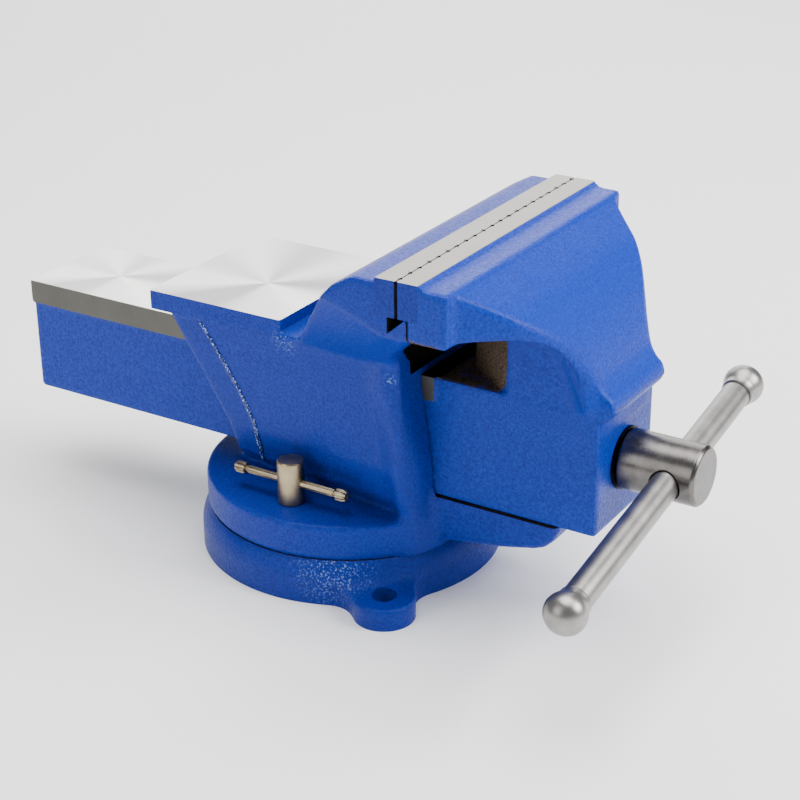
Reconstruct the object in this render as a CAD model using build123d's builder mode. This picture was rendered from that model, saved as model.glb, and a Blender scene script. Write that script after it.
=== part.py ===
from build123d import *
import os
from math import cos, pi, radians, sin

# Bench vise with 150 mm jaws on a swivel base.
# Frame: origin on the swivel axis at the underside of the base, +Z up, +X along the lead screw
# towards the handle, +Y across the jaws. At rest the jaws are closed. Millimetres throughout.

os.makedirs("parts", exist_ok=True)

# Fits
running = 0.06          # radial clearance of a shaft that turns in a bore
snug = 0.03             # radial clearance of a fixed pin, stud or tenon
guide_gap = 0.3         # clearance of the slide in its channel

# Base plate
base_r = 69
base_top_r = 66
base_top = 20
base_edge_z = 13
lug_angle = -47         # one lug here, the other opposite
lug_circle_r = 78.5     # bolt holes from the swivel axis
lug_end_r = 13.5
lug_root_half_width = 17
lug_height = 10
lug_hole_r = 5.5
slot_r = 48             # centre line of the circular T-slot
slot_neck_half = 5.6
slot_half = 10.5
slot_floor = 4.5
slot_roof = 12.5
entry_hole_r = 11

# Turntable and pedestal
turntable_r = 66
turntable_top = 36.5
channel_floor = 45.5
front_face = 60.5       # foot of the pedestal's front face
column_half = 44
nose_tip = 119
nose_half = 27

# Slide, which is part of the movable jaw
screw_z = 72.5
slide_half = 26
guide_half = 27         # the machined guide rails stand 1 mm proud
slide_bottom = 46
slide_top = 101
guide_bottom = 90
guide_end = 60
slide_rear = -163
slide_front = 136
hollow_half = 18.5
hollow_top = 91
front_wall = 14

# Anvil
anvil_rear = -78
anvil_front = -7.5
anvil_half = 42
anvil_top = 118
anvil_lip = 9           # height of the anvil's own side face

# Jaws
jaw_half = 75
jaw_contact = 71.5
jaw_top = 162
casting_top = 160
plate_thickness = 9.75
plate_height = 15.3
jaw_bottom = 137.5
web_root = 109.5        # where the fixed jaw's web springs from the pedestal
ledge_contact = 76      # where the two castings meet below the plates
plate_screw_y = 50
plate_screw_r = 3

# Lead screw and handle
screw_r = 9
screw_pitch = 5
screw_rear = -110
head_r = 13
head_end = 172
washer_thickness = 1.4
handle_x = 159.5
handle_tilt = 10        # degrees, rising towards +Y
handle_r = 6.25
handle_half = 84.3      # from the middle of the bar to the middle of a knob
handle_offset = -15.3   # the bar rests slid towards -Y
knob_r = 8.8
tenon_r = 4

# Lock bolts
lock_head_r = 6
lock_head_top = 57
lock_shank_r = 5
lock_bar_z = 46.4
lock_bar_r = 1.9
lock_bar_half = 29.2
lock_collar_r = 2.9

# Nut and pivot
nut_rear = 8
nut_front = 54
nut_half = 17
nut_top = 88
nut_bolt_x = (19, 42)
nut_bolt_r = 4
pivot_r = 8

plate_z = jaw_top - plate_height
plate_mid_z = jaw_top - plate_height / 2
fixed_plate_back = jaw_contact - plate_thickness
movable_plate_back = jaw_contact + plate_thickness


# --- Base plate: a round cast plate with two bolting lugs and a circular T-slot ---

with BuildPart() as base_plate:
    with BuildSketch(Plane.XZ):
        with BuildLine():
            Polyline(
                (0, 0), (base_r, 0), (base_r, base_edge_z), (base_top_r, base_top), (0, base_top), close=True
            )
        make_face()
    revolve(axis=Axis.Z)
    with BuildSketch():
        for turn in (lug_angle, lug_angle + 180):
            with Locations(Location((0, 0, 0), (0, 0, turn))):
                Polygon(
                    (base_r * 0.8, -lug_root_half_width),
                    (lug_circle_r, -lug_end_r),
                    (lug_circle_r, lug_end_r),
                    (base_r * 0.8, lug_root_half_width),
                    align=None,
                )
        with PolarLocations(lug_circle_r, 2, start_angle=lug_angle):
            Circle(lug_end_r)
    extrude(amount=lug_height)
    with BuildSketch(Plane.XY.offset(base_top)):
        Circle(slot_r + slot_neck_half)
        Circle(slot_r - slot_neck_half, mode=Mode.SUBTRACT)
    extrude(amount=-(base_top - slot_roof + 1), mode=Mode.SUBTRACT)
    with BuildSketch(Plane.XY.offset(slot_floor)):
        Circle(slot_r + slot_half)
        Circle(slot_r - slot_half, mode=Mode.SUBTRACT)
    extrude(amount=slot_roof - slot_floor, mode=Mode.SUBTRACT)
    with BuildSketch():
        with PolarLocations(slot_r, 2, start_angle=lug_angle + 90):
            Circle(entry_hole_r)
    extrude(amount=slot_floor + 1, mode=Mode.SUBTRACT)
    with BuildSketch():
        with PolarLocations(lug_circle_r, 2, start_angle=lug_angle):
            Circle(lug_hole_r)
    extrude(amount=lug_height, mode=Mode.SUBTRACT)
    with BuildSketch():
        Circle(pivot_r + running)
    extrude(amount=base_top, mode=Mode.SUBTRACT)
    with BuildSketch():
        Circle(2 * pivot_r)
    extrude(amount=base_top / 2 + 1, mode=Mode.SUBTRACT)
base_plate.part.label = "base_plate"
export_step(base_plate.part, "parts/base_plate.step")


# --- Pivot: a hex bolt with a washer, screwed up into the turntable from below ---

pivot_seat = base_top / 2 + 1

with BuildPart() as pivot_washer:
    with BuildSketch(Plane.XY.offset(pivot_seat - 2)):
        Circle(14)
        Circle(pivot_r + 0.3, mode=Mode.SUBTRACT)
    extrude(amount=2)
pivot_washer.part.label = "pivot_washer"
export_step(pivot_washer.part, "parts/pivot_washer.step")

with BuildPart() as pivot_bolt:
    with BuildSketch(Plane.XY.offset(pivot_seat - 2)):
        RegularPolygon(12, 6, major_radius=False)
    extrude(amount=-8)
    with BuildSketch(Plane.XY.offset(pivot_seat - 2)):
        Circle(pivot_r)
    extrude(amount=turntable_top - pivot_seat)
    chamfer(pivot_bolt.edges().sort_by(Axis.Z)[-1], 1)
pivot_bolt.part.label = "pivot_bolt"
export_step(pivot_bolt.part, "parts/pivot_bolt.step")


# --- Vise body: turntable, pedestal, slide channel, anvil, nose and fixed jaw in one casting ---


def hull_sections(stations):
    """Four-sided sections of a symmetric hull: z, rear x, rear half width, front x, front half width."""
    sections = []
    for z, rear_x, rear_half, front_x, front_half in stations:
        with BuildSketch(Plane.XY.offset(z)) as section:
            Polygon(
                (rear_x, -rear_half),
                (front_x, -front_half),
                (front_x, front_half),
                (rear_x, rear_half),
                align=None,
            )
        sections.append(section.sketch)
    return sections


# The fixed jaw block: a sloped web that widens from the anvil's width to the jaw's.
with BuildPart() as jaw_block:
    with BuildSketch(Plane.XZ):
        with BuildLine():
            Polyline(
                (anvil_front - 2, slide_top),
                (anvil_front - 2, web_root),
                (1, web_root),
                (35.6, 148.6),
                (50.8, casting_top),
                (fixed_plate_back, casting_top),
                (fixed_plate_back, plate_z),
                (67.3, plate_z),
                (67.3, 139.5),
                (75.4, plate_z),
                (ledge_contact - 0.05, plate_z),
                (ledge_contact - 0.05, jaw_bottom),
                (54, 118),
                (50.5, web_root),
                (52, slide_top),
                close=True,
            )
        make_face()
    extrude(amount=jaw_half, both=True)
    for side in (-1, 1):
        with BuildSketch(Plane.XZ.offset(side * (jaw_half + 0.01))):
            Polygon(
                (-30, 60), (-30, 148.6), (35.6, 148.6), (48.2, 144.8), (65.2, jaw_bottom + 0.4),
                (90, jaw_bottom), (90, 60),
                align=None,
            )
        with BuildSketch(Plane.XZ.offset(side * anvil_half)):
            Polygon(
                (-30, 60), (-30, web_root), (1, web_root), (12, web_root), (30, web_root),
                (90, web_root), (90, 60),
                align=None,
            )
        loft(ruled=True, mode=Mode.SUBTRACT)

# The front wall below the jaw: it leans forward to its foot and follows the turntable's rim there.
with BuildPart() as front_column:
    with BuildSketch(Plane.XZ):
        with BuildLine():
            Spline((49.5, 111), (51.8, 98), (54.8, 85), (57.6, 70), (59.6, 55), (front_face, 40))
            Polyline((front_face, 40), (front_face, base_top), (50, base_top), (50, turntable_top))
            Spline((50, turntable_top), (49, 60), (46.5, 80), (41, 98))
            Polyline((41, 98), (41, 111), (49.5, 111))
        make_face()
    extrude(amount=column_half, both=True)
    with BuildSketch(Plane.XZ):
        with BuildLine():
            Polyline((0, base_top), (turntable_r, base_top), (turntable_r, turntable_top))
            Spline((turntable_r, turntable_top), (67.5, 55), (71, 80))
            Polyline((71, 80), (71, 120), (0, 120), (0, base_top))
        make_face()
    revolve(axis=Axis.Z, mode=Mode.INTERSECT)

with BuildPart() as vise_body:
    with BuildSketch(Plane.XY.offset(base_top)):
        Circle(turntable_r)
    extrude(amount=turntable_top - base_top)
    fillet(vise_body.edges().sort_by(Axis.Z)[-1], 1.5)
    # The rear of the pedestal leans back under the anvil, and a pad stands 2 mm proud of it.
    loft(hull_sections((
        (base_top + 1, -44, 22, 50, 30),
        (turntable_top, -44, 22, 50, 30),
        (channel_floor, -42, 31, 50, 36),
        (60, -43, 36, 50, 40),
        (anvil_top - anvil_lip, -70, anvil_half - 2, 50, anvil_half - 2),
    )), ruled=True)
    loft(hull_sections((
        (base_top + 1, -30, 24, 50, 33),
        (turntable_top, -30, 24, 50, 33),
        (channel_floor, -26, 33, 50, 38),
        (60, -25, 38, 50, anvil_half),
        (anvil_top - anvil_lip, -51, anvil_half, 50, anvil_half),
    )), ruled=True)
    with BuildSketch(Plane.XY.offset(anvil_top)):
        with Locations(((anvil_rear + anvil_front) / 2, 0)):
            Rectangle(anvil_front - anvil_rear, 2 * anvil_half)
    extrude(amount=-anvil_lip)
    add(jaw_block.part)
    add(front_column.part)
    # The nose carries the slide in front of the pedestal.
    with BuildSketch(Plane.XZ):
        with BuildLine():
            Polyline((50, channel_floor), (50, 23), (front_face, 25), (92.6, 30.2), (108, 34))
            TangentArc((108, 34), (nose_tip, channel_floor), tangent=(15.4, 3.8))
            Line((nose_tip, channel_floor), (50, channel_floor))
        make_face()
    extrude(amount=nose_half, both=True)
    # The slide's channel runs right through.
    with BuildSketch(Plane.YZ.offset(anvil_rear - 5)):
        with Locations((0, (channel_floor + slide_top + guide_gap) / 2)):
            Rectangle(2 * (guide_half + guide_gap), slide_top + guide_gap - channel_floor)
    extrude(amount=nose_tip - anvil_rear + 10, mode=Mode.SUBTRACT)
    # Pivot socket, nut bolts with recessed heads, lock bolts, jaw plate screws.
    with BuildSketch(Plane.XY.offset(base_top)):
        Circle(pivot_r + snug)
    extrude(amount=18, mode=Mode.SUBTRACT)
    with BuildSketch(Plane.XY.offset(base_top)):
        with Locations(*[(x, 0) for x in nut_bolt_x]):
            Circle(nut_bolt_r + 0.3)
    extrude(amount=channel_floor - base_top, mode=Mode.SUBTRACT)
    with BuildSketch(Plane.XY.offset(base_top)):
        with Locations(*[(x, 0) for x in nut_bolt_x]):
            Circle(7)
    extrude(amount=9, mode=Mode.SUBTRACT)
    with BuildSketch(Plane.XY.offset(base_top)):
        with Locations((0, -slot_r), (0, slot_r)):
            Circle(lock_shank_r + running)
    extrude(amount=turntable_top - base_top, mode=Mode.SUBTRACT)
    with BuildSketch(Plane.YZ.offset(fixed_plate_back)):
        with Locations((-plate_screw_y, plate_mid_z), (plate_screw_y, plate_mid_z)):
            Circle(plate_screw_r + snug)
    extrude(amount=-15, mode=Mode.SUBTRACT)
vise_body.part.label = "vise_body"
export_step(vise_body.part, "parts/vise_body.step")


# --- Spindle nut on the channel floor, held by two bolts from below ---

with BuildPart() as spindle_nut:
    with BuildSketch(Plane.YZ.offset(nut_rear)):
        with Locations((0, (channel_floor + nut_top) / 2)):
            nut_outline = Rectangle(2 * nut_half, nut_top - channel_floor)
        fillet(nut_outline.vertices().group_by(Axis.Y)[-1], 13)
        with Locations((0, screw_z)):
            Circle(screw_r + running, mode=Mode.SUBTRACT)
    extrude(amount=nut_front - nut_rear)
    with BuildSketch(Plane.XY.offset(channel_floor)):
        with Locations(*[(x, 0) for x in nut_bolt_x]):
            Circle(nut_bolt_r + snug)
    extrude(amount=14, mode=Mode.SUBTRACT)
spindle_nut.part.label = "spindle_nut"
export_step(spindle_nut.part, "parts/spindle_nut.step")

with BuildPart() as nut_bolts:
    with BuildSketch(Plane.XY.offset(base_top + 1)):
        with Locations(*[(x, 0) for x in nut_bolt_x]):
            Circle(6.5)
            RegularPolygon(3.4, 6, major_radius=False, mode=Mode.SUBTRACT)
    extrude(amount=5)
    with BuildSketch(Plane.XY.offset(base_top + 5)):
        with Locations(*[(x, 0) for x in nut_bolt_x]):
            Circle(6.5)
    extrude(amount=4)
    with BuildSketch(Plane.XY.offset(base_top + 9)):
        with Locations(*[(x, 0) for x in nut_bolt_x]):
            Circle(nut_bolt_r)
    extrude(amount=channel_floor - base_top + 4)
nut_bolts.part.label = "nut_bolts"
export_step(nut_bolts.part, "parts/nut_bolts.step")


# --- Movable jaw: slide, front wall, neck, hood and jaw block in one casting ---

# The hood seen from the side, and half of its outline seen from above. Its shell thins towards the lip.
hood_back = 94
hood_profile = (
    (hood_back, 158.6), (100, 154.9), (106, 151.2), (112, 147.2),
    (118, 141.8), (124, 134.8), (130, 123.8), (134, 114.5),
)
hood_underside = (
    (slide_front, 97.5), (133, 104), (129, 116), (124.5, 128), (119, 135), (112, 138), (104, 138.4),
)
hood_outline = (
    (hood_back, 69.5), (100, 63.8), (106, 59), (112, 54.2), (118, 47.4),
    (124, 38.7), (130, 30.2), (134, 26.4), (138, 25),
)
lip_profile = ((134, 114.5), (137, 110.2), (140, 107.6), (141.6, 103.5), (139.8, 99.4), (slide_front, 97.5))

with BuildPart() as hood:
    with BuildSketch(Plane.XZ):
        with BuildLine():
            Spline(*hood_profile)
            Spline(*lip_profile)
            Spline(*hood_underside)
            Polyline((104, 138.4), (90, 138.4), (90, 158.6), (hood_back, 158.6))
        make_face()
    extrude(amount=jaw_half, both=True)
    with BuildSketch():
        with BuildLine():
            Spline(*[(x, -y) for x, y in hood_outline])
            Polyline((138, -25), (142, -25), (142, 25), (138, 25))
            Spline(*[(x, y) for x, y in reversed(hood_outline)])
            Polyline((hood_back, 69.5), (90, 69.5), (90, -69.5), (hood_back, -69.5))
        make_face()
    extrude(amount=jaw_top, mode=Mode.INTERSECT)
    # The jaw block behind the hood carries the jaw plate and is as wide as the plate.
    with BuildSketch(Plane.XZ):
        Polygon(
            (hood_back, jaw_bottom), (ledge_contact + 0.05, jaw_bottom), (ledge_contact + 0.05, plate_z),
            (movable_plate_back, plate_z), (movable_plate_back, casting_top), (hood_back, casting_top),
            align=None,
        )
    extrude(amount=jaw_half, both=True)
    block_edges = hood.edges().filter_by(Axis.Z).filter_by_position(Axis.X, hood_back - 0.1, hood_back + 0.1)
    fillet(block_edges.group_by(Axis.Y)[0] + block_edges.group_by(Axis.Y)[-1], 1.5)

# The neck under the hood: flush with the slide, and tapered towards the fixed jaw.
with BuildPart() as neck:
    with BuildSketch(Plane.XY.offset(slide_top - 2)):
        Polygon(
            (slide_front, -slide_half), (slide_front, slide_half), (93, slide_half), (66, 6), (66, -6),
            (93, -slide_half),
            align=None,
        )
    extrude(amount=casting_top - slide_top - 2)
    fillet(neck.edges().filter_by(Axis.Z).group_by(Axis.X)[0], 5)
    with BuildSketch(Plane.XZ):
        with BuildLine():
            Spline(*hood_profile)
            Polyline(
                (134, 114.5), (slide_front, 111), (slide_front, 90), (60, 90), (60, 117), (79, jaw_bottom),
                (84, jaw_bottom), (84, 158.6), (hood_back, 158.6),
            )
        make_face()
    extrude(amount=slide_half, both=True, mode=Mode.INTERSECT)

with BuildPart() as movable_jaw:
    with BuildSketch(Plane.YZ.offset(slide_rear)):
        with Locations((0, (slide_bottom + slide_top) / 2)):
            slide_outline = Rectangle(2 * slide_half, slide_top - slide_bottom)
        fillet(slide_outline.vertices().group_by(Axis.Y)[0], 4)
    extrude(amount=slide_front - slide_rear)
    with BuildSketch(Plane.YZ.offset(slide_rear)):
        with Locations((0, (guide_bottom + slide_top) / 2)):
            Rectangle(2 * guide_half, slide_top - guide_bottom)
    extrude(amount=guide_end - slide_rear)
    with BuildSketch(Plane.YZ.offset(slide_rear)):
        with Locations((0, (slide_bottom + hollow_top) / 2)):
            Rectangle(2 * hollow_half, hollow_top - slide_bottom)
    extrude(amount=slide_front - front_wall - slide_rear, mode=Mode.SUBTRACT)
    add(neck.part)
    add(hood.part)
    with BuildSketch(Plane.YZ.offset(slide_front + 10)):
        with Locations((0, screw_z)):
            Circle(screw_r + running)
    extrude(amount=-front_wall - 12, mode=Mode.SUBTRACT)
    with BuildSketch(Plane.YZ.offset(movable_plate_back)):
        with Locations((-plate_screw_y, plate_mid_z), (plate_screw_y, plate_mid_z)):
            Circle(plate_screw_r + snug)
    extrude(amount=12, mode=Mode.SUBTRACT)
movable_jaw.part.label = "movable_jaw"
export_step(movable_jaw.part, "parts/movable_jaw.step")


# --- Jaw plates and their countersunk screws ---

screw_head_r = 6
screw_head_depth = 3.3
screw_recess = 0.4

for name, back in (("fixed", fixed_plate_back), ("movable", movable_plate_back)):
    inward = 1 if back < jaw_contact else -1    # from the casting towards the contact plane
    face = Plane(origin=(jaw_contact, 0, plate_mid_z), x_dir=(0, 1, 0), z_dir=(inward, 0, 0))
    with BuildPart() as jaw_plate:
        with BuildSketch(face):
            Rectangle(2 * jaw_half, plate_height)
        extrude(amount=-plate_thickness)
        with Locations(face):
            with Locations((-plate_screw_y, 0), (plate_screw_y, 0)):
                CounterSinkHole(plate_screw_r + 0.3, screw_head_r + 0.4, counter_sink_angle=90)
    jaw_plate.part.label = f"{name}_jaw_plate"
    export_step(jaw_plate.part, f"parts/{name}_jaw_plate.step")

    with BuildPart() as plate_screws:
        for y in (-plate_screw_y, plate_screw_y):
            screw_face = (jaw_contact - inward * screw_recess, y, plate_mid_z)
            screw_axis = Plane(origin=screw_face, x_dir=(0, 1, 0), z_dir=(-inward, 0, 0))
            with BuildSketch(screw_axis):
                Circle(screw_head_r)
            extrude(amount=screw_head_depth, taper=45)
            with BuildSketch(screw_axis):
                Circle(plate_screw_r)
            extrude(amount=20)
            with BuildSketch(screw_axis):
                RegularPolygon(2, 6, major_radius=False)
            extrude(amount=2.2, mode=Mode.SUBTRACT)
    plate_screws.part.label = f"{name}_plate_screws"
    export_step(plate_screws.part, f"parts/{name}_plate_screws.step")


# --- Lead screw and what holds it in the front wall ---

collar_rear = 98
collar_front = 108
spring_rear = collar_front
spring_front = slide_front - front_wall - 1.6
screw_line = Plane(origin=(0, 0, screw_z), x_dir=(0, 1, 0), z_dir=(1, 0, 0))
handle_direction = (0, cos(radians(handle_tilt)), sin(radians(handle_tilt)))
handle_line = Plane(origin=(handle_x, 0, screw_z), x_dir=(1, 0, 0), z_dir=handle_direction)

with BuildPart() as lead_screw:
    with BuildSketch(screw_line.offset(screw_rear)):
        Circle(screw_r)
    extrude(amount=slide_front + washer_thickness - screw_rear)
    chamfer(lead_screw.edges().sort_by(Axis.X)[0], 1.5)
    with BuildSketch(screw_line.offset(slide_front + washer_thickness)):
        Circle(head_r)
    extrude(amount=head_end - slide_front - washer_thickness)
    chamfer(lead_screw.edges().sort_by(Axis.X)[-1], 1)
    with BuildSketch(handle_line.offset(-20)):
        Circle(handle_r + 0.1)
    extrude(amount=40, mode=Mode.SUBTRACT)
    with BuildSketch(Plane(origin=((collar_rear + collar_front) / 2, 0, 0))):
        Circle(2 + snug)
    extrude(amount=2 * screw_z, mode=Mode.SUBTRACT)
lead_screw.part.label = "lead_screw"
export_step(lead_screw.part, "parts/lead_screw.step")

for name, rear, front, outer_r in (
    ("thrust_washer", slide_front, slide_front + washer_thickness, 13.6),
    ("spring_washer", spring_front, slide_front - front_wall, 14),
):
    with BuildPart() as washer:
        with BuildSketch(screw_line.offset(rear)):
            Circle(outer_r)
            Circle(screw_r + 0.2, mode=Mode.SUBTRACT)
        extrude(amount=front - rear)
    washer.part.label = name
    export_step(washer.part, f"parts/{name}.step")

spring_wire_r = 1.1
spring_coil_r = 11.6
spring_turns = 3
spring_length = spring_front - spring_rear - 2 * spring_wire_r - 0.1

with BuildPart() as thrust_spring:
    with BuildLine() as coil:
        Helix(
            spring_length / spring_turns, spring_length, spring_coil_r,
            center=(spring_rear + spring_wire_r + 0.05, 0, screw_z), direction=(1, 0, 0),
        )
    with BuildSketch(Plane(origin=coil.line @ 0, z_dir=coil.line % 0)):
        Circle(spring_wire_r)
    sweep(path=coil.line, is_frenet=True)
thrust_spring.part.label = "thrust_spring"
export_step(thrust_spring.part, "parts/thrust_spring.step")

with BuildPart() as retaining_collar:
    with BuildSketch(screw_line.offset(collar_rear)):
        Circle(14)
        Circle(screw_r + snug, mode=Mode.SUBTRACT)
    extrude(amount=collar_front - collar_rear)
    with BuildSketch(Plane(origin=((collar_rear + collar_front) / 2, 0, 0))):
        Circle(2 + snug)
    extrude(amount=2 * screw_z, mode=Mode.SUBTRACT)
retaining_collar.part.label = "retaining_collar"
export_step(retaining_collar.part, "parts/retaining_collar.step")

with BuildPart() as collar_pin:
    with BuildSketch(Plane(origin=((collar_rear + collar_front) / 2, 0, screw_z - 13.5))):
        Circle(2)
    extrude(amount=27)
collar_pin.part.label = "collar_pin"
export_step(collar_pin.part, "parts/collar_pin.step")


# --- Handle: a sliding bar with a knob pressed on each end ---

knob_neck = 5.5         # from a knob's middle to its inner face, past the ball's own curve
bar_shoulder = handle_half - knob_neck - 4
bar_middle = handle_line.offset(handle_offset)

with BuildPart() as handle_bar:
    with BuildSketch(bar_middle.offset(-bar_shoulder)):
        Circle(handle_r)
    extrude(amount=2 * bar_shoulder)
    with BuildSketch(bar_middle.offset(-handle_half - 1)):
        Circle(tenon_r)
    extrude(amount=2 * (handle_half + 1))
handle_bar.part.label = "handle_bar"
export_step(handle_bar.part, "parts/handle_bar.step")

for name, side in (("left", -1), ("right", 1)):
    knob_middle = bar_middle.offset(side * handle_half)
    outward = Plane(origin=knob_middle.origin, x_dir=(1, 0, 0), z_dir=Vector(*handle_direction) * side)
    with BuildPart() as handle_knob:
        with BuildSketch(Plane(origin=outward.origin, x_dir=(1, 0, 0), z_dir=outward.y_dir * -1)):
            with BuildLine():
                Polyline((0, -knob_neck - 4), (handle_r + 0.6, -knob_neck - 4), (handle_r + 0.9, -knob_neck))
                Spline((handle_r + 0.9, -knob_neck), (knob_r, 0), (6.6, 5.8), (0, 8.3))
                Line((0, 8.3), (0, -knob_neck - 4))
            make_face()
        revolve(axis=Axis(outward.origin, outward.z_dir))
        with BuildSketch(outward.offset(-knob_neck - 4)):
            Circle(tenon_r + snug)
        extrude(amount=knob_neck + 5.5, mode=Mode.SUBTRACT)
    handle_knob.part.label = f"handle_knob_{name}"
    export_step(handle_knob.part, f"parts/handle_knob_{name}.step")


# --- Swivel locks: a bolt through the turntable, its sliding bar, and its T-nut in the base ---

tee_half = 8.5
tee_bottom = slot_floor + 1
tee_top = slot_roof - 0.1

for name, y in (("left", -slot_r), ("right", slot_r)):
    with BuildPart() as lock_bolt:
        with BuildSketch(Plane(origin=(0, y, turntable_top))):
            Circle(lock_head_r)
        extrude(amount=lock_head_top - turntable_top)
        chamfer(lock_bolt.edges().sort_by(Axis.Z)[-1], 0.6)
        with BuildSketch(Plane(origin=(0, y, tee_bottom))):
            Circle(lock_shank_r)
        extrude(amount=turntable_top - tee_bottom)
        with BuildSketch(Plane(origin=(-10, y, lock_bar_z), x_dir=(0, 1, 0), z_dir=(1, 0, 0))):
            Circle(lock_bar_r + 0.1)
        extrude(amount=20, mode=Mode.SUBTRACT)
    lock_bolt.part.label = f"lock_bolt_{name}"
    export_step(lock_bolt.part, f"parts/lock_bolt_{name}.step")

    with BuildPart() as lock_bar:
        with BuildSketch(Plane(origin=(-lock_bar_half, y, lock_bar_z), x_dir=(0, 1, 0), z_dir=(1, 0, 0))):
            Circle(lock_bar_r)
        extrude(amount=2 * lock_bar_half)
        for collar_x in (-lock_bar_half + 0.8, lock_bar_half - 5.8):
            with BuildSketch(Plane(origin=(collar_x, y, lock_bar_z), x_dir=(0, 1, 0), z_dir=(1, 0, 0))):
                Circle(lock_collar_r)
            extrude(amount=5)
    lock_bar.part.label = f"lock_bar_{name}"
    export_step(lock_bar.part, f"parts/lock_bar_{name}.step")

    with BuildPart() as tee_nut:
        with BuildSketch(Plane(origin=(0, y, tee_bottom))):
            Rectangle(2 * tee_half, 2 * tee_half)
            Circle(lock_shank_r + running, mode=Mode.SUBTRACT)
        extrude(amount=tee_top - tee_bottom)
    tee_nut.part.label = f"tee_nut_{name}"
    export_step(tee_nut.part, f"parts/tee_nut_{name}.step")

print("lead screw: mm of travel for each radian", screw_pitch / (2 * pi))
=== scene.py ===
# %% [markdown]
# # Bench vise: the looks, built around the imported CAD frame
# The CAD model holds every size and every joint. This script loads it and never moves it.
# It makes the castings' fillets, the thread and the serrations that the plain CAD solids leave out, and gives
# every piece its finish.

# %% Load the frame and the tools
import math

import bmesh
import bpy
import numpy as np
from mathutils import Matrix, Vector


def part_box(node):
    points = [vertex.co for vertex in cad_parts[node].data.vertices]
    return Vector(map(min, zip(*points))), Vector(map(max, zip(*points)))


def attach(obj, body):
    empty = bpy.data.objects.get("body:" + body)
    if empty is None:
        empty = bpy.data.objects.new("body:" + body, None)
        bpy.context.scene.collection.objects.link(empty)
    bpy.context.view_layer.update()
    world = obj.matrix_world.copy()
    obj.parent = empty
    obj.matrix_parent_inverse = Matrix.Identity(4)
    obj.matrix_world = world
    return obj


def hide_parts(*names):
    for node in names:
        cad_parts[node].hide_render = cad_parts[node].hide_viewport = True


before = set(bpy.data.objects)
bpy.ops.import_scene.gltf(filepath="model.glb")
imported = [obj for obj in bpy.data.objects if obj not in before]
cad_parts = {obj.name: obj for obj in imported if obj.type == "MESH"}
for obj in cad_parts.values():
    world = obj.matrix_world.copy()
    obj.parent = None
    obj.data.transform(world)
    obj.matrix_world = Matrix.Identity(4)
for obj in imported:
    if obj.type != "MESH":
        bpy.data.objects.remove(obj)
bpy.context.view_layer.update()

MM = 0.001

# %% [markdown]
# ## How the castings are made
# A grey iron casting has no sharp inner corners: the sand mould gives each one a fillet, and every outer
# edge is a little round. Boolean solids with bevels would need dozens of hand-picked edges. So each casting
# is written as one function of x, y and z that gives the distance to its surface, below zero inside. Two
# shapes join with a fillet by a smooth minimum, a smooth maximum rounds the outer edges, and the machined
# faces are cut afterwards with a plain maximum, which keeps them flat and crisp, as on the real part, where
# milling comes last.

# %% Distance functions, in millimetres


def soft_min(a, b, fillet):
    """The smaller of two distances, with a dip of fillet / 4 where they are equal: a fillet between shapes."""
    h = np.maximum(fillet - np.abs(a - b), 0) / fillet
    return np.minimum(a, b) - h * h * fillet / 4


def soft_max(a, b, radius):
    """The larger of two distances, with a hump where they are equal: a rounded edge."""
    return -soft_min(-a, -b, radius)


def outline(u, v, points):
    """Signed distance in a plane from (u, v) to a closed outline, by the nearest point on each edge."""
    points = np.asarray(points, float)
    nearest = np.full(np.broadcast(u, v).shape, 1e12)
    inside = np.zeros(nearest.shape, bool)
    for (ax, ay), (bx, by) in zip(points, np.roll(points, -1, axis=0)):
        ex, ey = bx - ax, by - ay
        t = np.clip(((u - ax) * ex + (v - ay) * ey) / (ex * ex + ey * ey), 0, 1)
        nearest = np.minimum(nearest, (u - ax - t * ex) ** 2 + (v - ay - t * ey) ** 2)
        crosses = (ay > v) != (by > v)
        if ey:
            inside ^= crosses & (u < ax + (v - ay) * ex / ey)
    return np.where(inside, -1, 1) * np.sqrt(nearest)


def block(x, y, z, low, high, radius=0.0):
    """Distance to a box between two corners. A radius rounds its edges."""
    q = [np.abs(c - (a + b) / 2) - (b - a) / 2 + radius for c, a, b in zip((x, y, z), low, high)]
    outside = np.sqrt(sum(np.maximum(d, 0) ** 2 for d in q))
    return outside + np.minimum(np.maximum(np.maximum(q[0], q[1]), q[2]), 0) - radius


def rod(u, v, centre, radius):
    """Distance to an endless cylinder whose axis stands on the plane of u and v."""
    return np.hypot(u - centre[0], v - centre[1]) - radius


# %% [markdown]
# ## From a distance function to a mesh
# The function is sampled on a grid. Every cell that the surface passes through gets one vertex, at the mean
# of the points where the surface crosses the cell's edges, and every crossed grid edge joins its four cells
# with one quad. That is the surface-nets method: it gives even quads and needs no case table. A few Newton
# steps then put each vertex on the exact surface, and on both surfaces at once where a cut meets the
# casting, so machined edges are sharp.

# %% Surface nets


def sample(grid, origin, cell, points):
    """Trilinear value of a grid at points."""
    q = (points - origin) / cell
    q = np.clip(q, 0, np.array(grid.shape) - 1.001)
    i = q.astype(int)
    f = q - i
    value = 0
    for corner in np.ndindex(2, 2, 2):
        weight = np.prod(np.where(corner, f, 1 - f), axis=1)
        value = value + weight * grid[i[:, 0] + corner[0], i[:, 1] + corner[1], i[:, 2] + corner[2]]
    return value


def slope(field, points, step=0.2):
    """Value and gradient of a field at points, by central differences."""
    gradient = np.empty_like(points)
    for axis in range(3):
        shift = np.zeros(3)
        shift[axis] = step
        gradient[:, axis] = (field(points + shift) - field(points - shift)) / (2 * step)
    return field(points), gradient


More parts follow.
